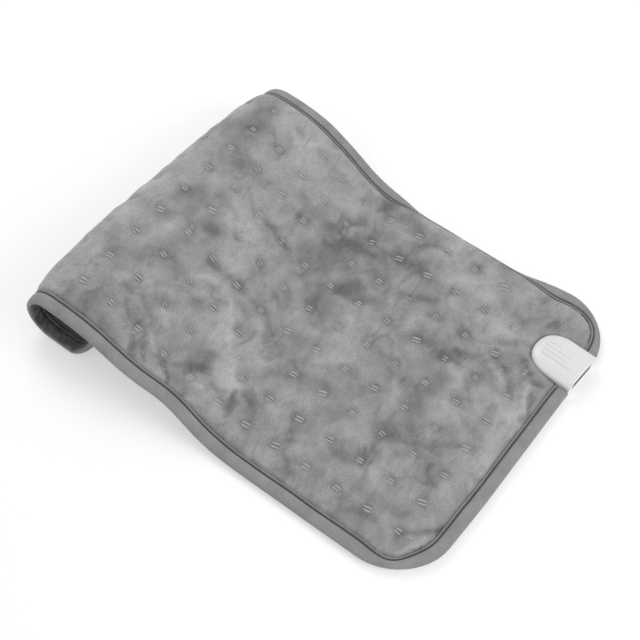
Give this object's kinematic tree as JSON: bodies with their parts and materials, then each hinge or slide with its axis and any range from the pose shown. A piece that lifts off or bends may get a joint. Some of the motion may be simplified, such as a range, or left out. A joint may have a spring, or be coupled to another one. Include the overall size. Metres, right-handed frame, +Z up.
{
  "type": "heating pad",
  "caption": "Tufted plush heating pad with a bound edge and a moulded socket housing, its tail end rolled up beneath it.",
  "frame": {"origin": "middle of the pad's footprint, on the surface it lies on", "axes": "+X along the pad towards the end with the socket housing, +Y across it towards the edge that the housing is nearer, +Z up"},
  "size_m": [0.3726, 0.3004, 0.0596],
  "materials": {
    "plush": "short soft pile, matte",
    "binding_tape": "smooth woven tape",
    "wadding": "needled felt",
    "wire_silicone": "matte silicone",
    "lead_sheath": "smooth sheath",
    "white_plastic": "fine satin gloss",
    "socket_plastic": "matte moulded",
    "contact_metal": "tin plated",
    "screw_steel": "zinc plated"
  },
  "bodies": {
    "root": {"cover_top": "plush", "cover_bottom": "plush", "edge_binding": "binding_tape", "wadding_top": "wadding", "wadding_bottom": "wadding", "carrier_top": "wadding", "carrier_bottom": "wadding", "heating_wire": "wire_silicone", "lead_to_fuse": "lead_sheath", "lead_from_fuse": "lead_sheath", "lead_return": "lead_sheath", "sensor_lead_a": "lead_sheath", "sensor_lead_b": "lead_sheath", "splice_near": "contact_metal", "splice_far": "contact_metal", "thermal_fuse": "contact_metal", "temperature_sensor": "socket_plastic", "housing_top": "white_plastic", "housing_bottom": "white_plastic", "socket_block": "socket_plastic", "contact_pin_1": "contact_metal", "contact_pin_2": "contact_metal", "contact_pin_3": "contact_metal", "contact_pin_4": "contact_metal", "housing_screw_1": "screw_steel", "housing_screw_2": "screw_steel", "housing_screw_3": "screw_steel", "housing_screw_4": "screw_steel"}
  },
  "joints": []
}
